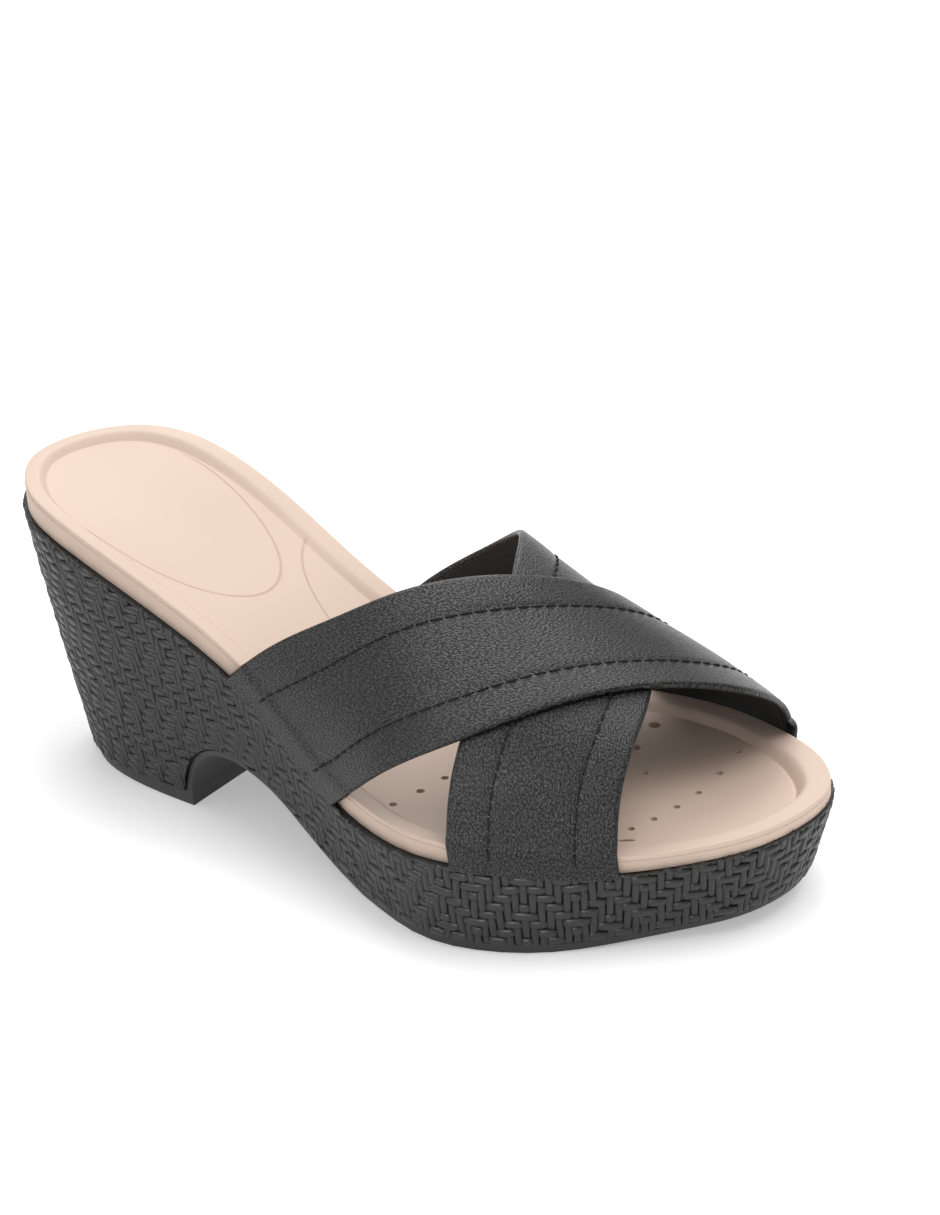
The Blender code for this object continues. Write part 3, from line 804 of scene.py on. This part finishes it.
def make_strap(kind):
    """A strap as a closed body: a round-edged section drawn over the foot. Its lining is the inner face."""
    over_rows = np.concatenate([[-STRAP_TUCK], np.linspace(0, 1, STRAP_ROWS + 1), [1 + STRAP_TUCK]])
    width = STRAP_WIDTH
    half = STRAP_WALL / 2
    outer = np.linspace(0, 1, STRAP_COLUMNS + 1)
    angles = np.pi * (np.arange(1, EDGE_STEPS) / EDGE_STEPS)
    front_edge = np.column_stack([1 + np.sin(angles) * half / width, half + np.cos(angles) * half])
    rear_edge = np.column_stack([-np.sin(angles) * half / width, half - np.cos(angles) * half])
    inset = half / width
    section = [(inset + across * (1 - 2 * inset), STRAP_WALL, 1) for across in outer]
    section += [(across - inset, out, 0) for across, out in front_edge]
    section += [(inset + across * (1 - 2 * inset), 0, 0) for across in outer[::-1]]
    section += [(across + inset, out, 0) for across, out in rear_edge]
    across, out, is_outer = (np.array(values, dtype=float) for values in zip(*section))
    over, across = np.meshgrid(over_rows, across, indexing="ij")
    here, outward = strap_frame(kind, over, across)
    lift = strap_lift(kind, np.clip(over, 0, 1)) + out + is_outer * seam_relief(kind, across, width)
    points = here + outward * lift[..., None]
    below = (np.clip(-over, 0, 1) + np.clip(over - 1, 0, 1)) / STRAP_TUCK
    points[..., 2] -= below * STRAP_REACH
    points = points + SHIFT
    rows, around = over.shape
    faces = []
    for row in range(rows - 1):
        for step in range(around):
            onward = (step + 1) % around
            low, high = row * around, (row + 1) * around
            faces.append((low + step, low + onward, high + onward, high + step))
    faces.append(tuple(range(around))[::-1])
    faces.append(tuple((rows - 1) * around + step for step in range(around)))
    mesh = bpy.data.meshes.new(kind + "_strap")
    mesh.from_pydata(points.reshape(-1, 3).tolist(), [], faces)
    strides = np.linalg.norm(np.diff(points[:, STRAP_COLUMNS // 2], axis=0), axis=1)
    travel = np.concatenate([[0], np.cumsum(strides)])
    grain_at = np.stack([np.broadcast_to(travel[:, None], over.shape), across * width], axis=-1)
    grain_at = grain_at.reshape(-1, 2)
    corner_of = np.zeros(len(mesh.loops), dtype=np.int32)
    mesh.loops.foreach_get("vertex_index", corner_of)
    mesh.uv_layers.new(name="leather").data.foreach_set("uv", grain_at[corner_of].ravel())
    strap = bpy.data.objects.new(kind + "_strap", mesh)
    bpy.context.collection.objects.link(strap)
    select_only(strap)
    bpy.ops.object.mode_set(mode="EDIT")
    bpy.ops.mesh.select_all(action="SELECT")
    bpy.ops.mesh.normals_make_consistent(inside=False)
    bpy.ops.object.mode_set(mode="OBJECT")
    bpy.ops.object.shade_smooth_by_angle(angle=math.radians(60))
    lining_steps = range(STRAP_COLUMNS + EDGE_STEPS + 2, 2 * STRAP_COLUMNS + EDGE_STEPS - 1)
    for row in range(rows - 1):
        for step in lining_steps:
            mesh.polygons[row * around + step].material_index = 1
    return strap


# Grained leather: black, with a pebbled grain under a mm long, its tops shinier than its valleys and their
# paler colour a painted glint.
strap_leather, shader = new_material("grained black leather", "#1a1a1a", 0.28)
tree = strap_leather.node_tree
place = add_node(tree, "ShaderNodeUVMap", uv_map="leather").outputs["UV"]
spread = add_node(tree, "ShaderNodeMapping", {"Vector": place, "Scale": (1300, 2000, 1)})
pebbles = add_node(
    tree,
    "ShaderNodeTexVoronoi",
    {"Vector": spread.outputs[0], "Scale": 1},
    voronoi_dimensions="2D",
)
wrinkles = add_node(
    tree,
    "ShaderNodeTexNoise",
    {"Vector": spread.outputs[0], "Scale": 0.9, "Detail": 3, "Roughness": 0.65},
    noise_dimensions="2D",
)
mixed = add_node(
    tree,
    "ShaderNodeMath",
    {0: pebbles.outputs["Distance"], 1: -1.0, 2: wrinkles.outputs["Fac"]},
    operation="MULTIPLY_ADD",
)
bump = add_node(tree, "ShaderNodeBump", {"Height": mixed.outputs[0], "Strength": 1.0, "Distance": 0.00015})
pebble_tops = add_node(tree, "ShaderNodeMapRange", {0: mixed.outputs[0], 1: 0.0, 2: 0.50, 3: 0, 4: 1})
shine = add_node(tree, "ShaderNodeMapRange", {0: pebble_tops.outputs[0], 1: 0, 2: 1, 3: 0.25, 4: 0.70})
tree.links.new(shine.outputs[0], shader.inputs["Specular IOR Level"])
# Painted highlight: the pebble tops are painted paler, standing in for glints on the grain
tones = add_node(
    tree,
    "ShaderNodeMix",
    {"Factor": pebble_tops.outputs[0], 6: linear("#111111"), 7: linear("#292929")},
    data_type="RGBA",
)
tree.links.new(tones.outputs[2], shader.inputs["Base Color"])
tree.links.new(bump.outputs["Normal"], shader.inputs["Normal"])

# Lining: a thin dark synthetic, dull and finely rough.
strap_lining, shader = new_material("dark lining", "#0d0d0c", 0.85)
tree = strap_lining.node_tree
place = add_node(tree, "ShaderNodeTexCoord").outputs["Object"]
grain = add_node(tree, "ShaderNodeTexNoise", {"Vector": place, "Scale": 2200, "Detail": 2})
bump = add_node(tree, "ShaderNodeBump", {"Height": grain.outputs["Fac"], "Strength": 0.4, "Distance": 0.0002})
tree.links.new(bump.outputs["Normal"], shader.inputs["Normal"])

straps = [make_strap("under"), make_strap("top")]
for strap in straps:
    strap.data.materials.append(strap_leather)
    strap.data.materials.append(strap_lining)
    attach(strap, "root")
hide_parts("upper")


# Stitches. A row of black thread stitches along each of a strap's two seams, sunk a little into the
# leather. Each stitch goes down into a needle hole at both its ends, drawn as a dark blob of painted shade.
STITCH_PITCH = 0.0038
STITCH_LENGTH = 0.0026
STITCH_RADIUS = 0.00036
NEEDLE_HOLE = 0.00026

# A stitch and its two needle holes: place along the stitch, half sizes along, across and outwards, and
# material
STITCH_SHAPES = (
    (0, STITCH_LENGTH / 2, STITCH_RADIUS, STITCH_RADIUS, 0),
    (-STITCH_LENGTH / 2, NEEDLE_HOLE, NEEDLE_HOLE, 0.00018, 1),
    (STITCH_LENGTH / 2, NEEDLE_HOLE, NEEDLE_HOLE, 0.00018, 1),
)

bpy.ops.object.select_all(action="DESELECT")
bpy.ops.mesh.primitive_uv_sphere_add(segments=8, ring_count=6, radius=1)
bead = bpy.context.object
bead_points = np.array([vertex.co[:] for vertex in bead.data.vertices])
# Sorted, because Blender gives a sphere's faces in another order each time
bead_faces = sorted(face.vertices[:] for face in bead.data.polygons)
bpy.data.objects.remove(bead)
stitch_points = []
stitch_faces = []
stitch_materials = []
for kind in ("under", "top"):
    for seam in SEAMS[kind]:
        over = np.linspace(0.01, 0.99, 400)
        here, outward = strap_frame(kind, over, np.full(400, seam))
        lift = strap_lift(kind, over) + STRAP_WALL - SEAM_DIP + STITCH_RADIUS * 0.5
        line = here + outward * lift[:, None]
        run = np.concatenate([[0], np.cumsum(np.linalg.norm(np.diff(line, axis=0), axis=1))])
        for middle in np.arange(STITCH_PITCH, run[-1] - STITCH_PITCH, STITCH_PITCH):
            centre, behind, ahead, out = (
                np.array([np.interp(at, run, values[:, axis]) for axis in range(3)])
                for at, values in (
                    (middle, line),
                    (middle - STITCH_LENGTH / 2, line),
                    (middle + STITCH_LENGTH / 2, line),
                    (middle, outward),
                )
            )
            way = ahead - behind
            way /= np.linalg.norm(way)
            side = np.cross(out, way)
            for offset, half_long, half_wide, half_high, material in STITCH_SHAPES:
                shaped = bead_points[:, :1] * way * half_long + bead_points[:, 1:2] * side * half_wide
                shaped = shaped + bead_points[:, 2:] * out * half_high - material * out * STITCH_RADIUS * 0.5
                first = len(stitch_points) * len(bead_points)
                stitch_faces += [tuple(first + corner for corner in face) for face in bead_faces]
                stitch_materials += [material] * len(bead_faces)
                stitch_points.append(centre + offset * way + shaped + SHIFT)
stitch_mesh = bpy.data.meshes.new("stitches")
stitch_mesh.from_pydata(np.concatenate(stitch_points).tolist(), [], stitch_faces)
stitch_mesh.polygons.foreach_set("material_index", stitch_materials)
stitches = bpy.data.objects.new("stitches", stitch_mesh)
bpy.context.collection.objects.link(stitches)
select_only(stitches)
bpy.ops.object.shade_smooth()

# Bonded thread: black and dull.
thread, _ = new_material("black bonded thread", "#030303", 0.9)
stitches.data.materials.append(thread)

# The needle holes: near-black blobs with no sheen, sunk half into the leather as painted shade inside the
# holes.
needle_hole_shade, shader = new_material("needle hole shade", "#020202", 1.0)
shader.inputs["Specular IOR Level"].default_value = 0
stitches.data.materials.append(needle_hole_shade)
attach(stitches, "root")


# Studio. A white paper sweep among white walls, with two soft boxes overhead and three more lights that
# show as sheen only. The camera is in front of the lateral side, a little rolled as in the photo.
CAMERA_PLACE = (0.43714, -0.56157, 0.39462)
CAMERA_YAW = 2.20301
CAMERA_PITCH = 0.43838
CAMERA_ROLL = -0.06133
CAMERA_LENS = 89.13
FLOOR_SIZE = 12

bpy.ops.object.select_all(action="DESELECT")
bpy.ops.mesh.primitive_plane_add(size=FLOOR_SIZE)
floor = bpy.context.object
floor.name = "floor"
white_paper, shader = new_material("white paper sweep", "#fafafa", 0.9)
shader.inputs["Emission Color"].default_value = (1, 1, 1, 1)
shader.inputs["Emission Strength"].default_value = 0.33
floor.data.materials.append(white_paper)

world = bpy.data.worlds.new("studio")
world.use_nodes = True
world.node_tree.nodes["Background"].inputs["Color"].default_value = (1, 1, 1, 1)
world.node_tree.nodes["Background"].inputs["Strength"].default_value = 0.50
bpy.context.scene.world = world

# The lights: name, place, what it points at, size, power, and whether it lights matt surfaces or only
# glints
LIGHTS = (
    ("overhead_right", (0.40, 0.10, 1.20), (0, 0, 0.03), 0.8, 7.4, True),
    ("overhead_left", (-0.35, 0.45, 1.10), (0, 0, 0.03), 0.7, 5.2, True),
    ("side_glint", (0.30, -0.90, 0.45), (0, 0, 0.05), 0.18, 5.0, False),
    ("heel_glint", (-0.46, -0.64, 0.70), (0, 0, 0.05), 0.22, 4.0, False),
    ("crown_sheen", (-0.45, 0.75, 0.80), (0, 0, 0.05), 0.9, 6.0, False),
)
for name, spot, target, size, power, lights_matt in LIGHTS:
    lamp = bpy.data.lights.new(name, "AREA")
    lamp.shape = "SQUARE"
    lamp.size = size
    lamp.energy = power
    holder = bpy.data.objects.new(name, lamp)
    holder.location = spot
    holder.visible_diffuse = lights_matt
    holder.rotation_euler = (Vector(target) - Vector(spot)).to_track_quat("-Z", "Y").to_euler()
    bpy.context.collection.objects.link(holder)

lens = bpy.data.cameras.new("camera")
lens.lens = CAMERA_LENS
lens.sensor_width = 36
lens.clip_start = 0.01
camera = bpy.data.objects.new("camera", lens)
turned = Matrix.Rotation(CAMERA_YAW - math.pi / 2, 4, "Z")
tilted = Matrix.Rotation(math.pi / 2 - CAMERA_PITCH, 4, "X")
rolled = Matrix.Rotation(CAMERA_ROLL, 4, "Z")
camera.matrix_world = Matrix.Translation(CAMERA_PLACE) @ turned @ tilted @ rolled
bpy.context.collection.objects.link(camera)
bpy.context.scene.camera = camera
bpy.context.scene.view_settings.view_transform = "Standard"
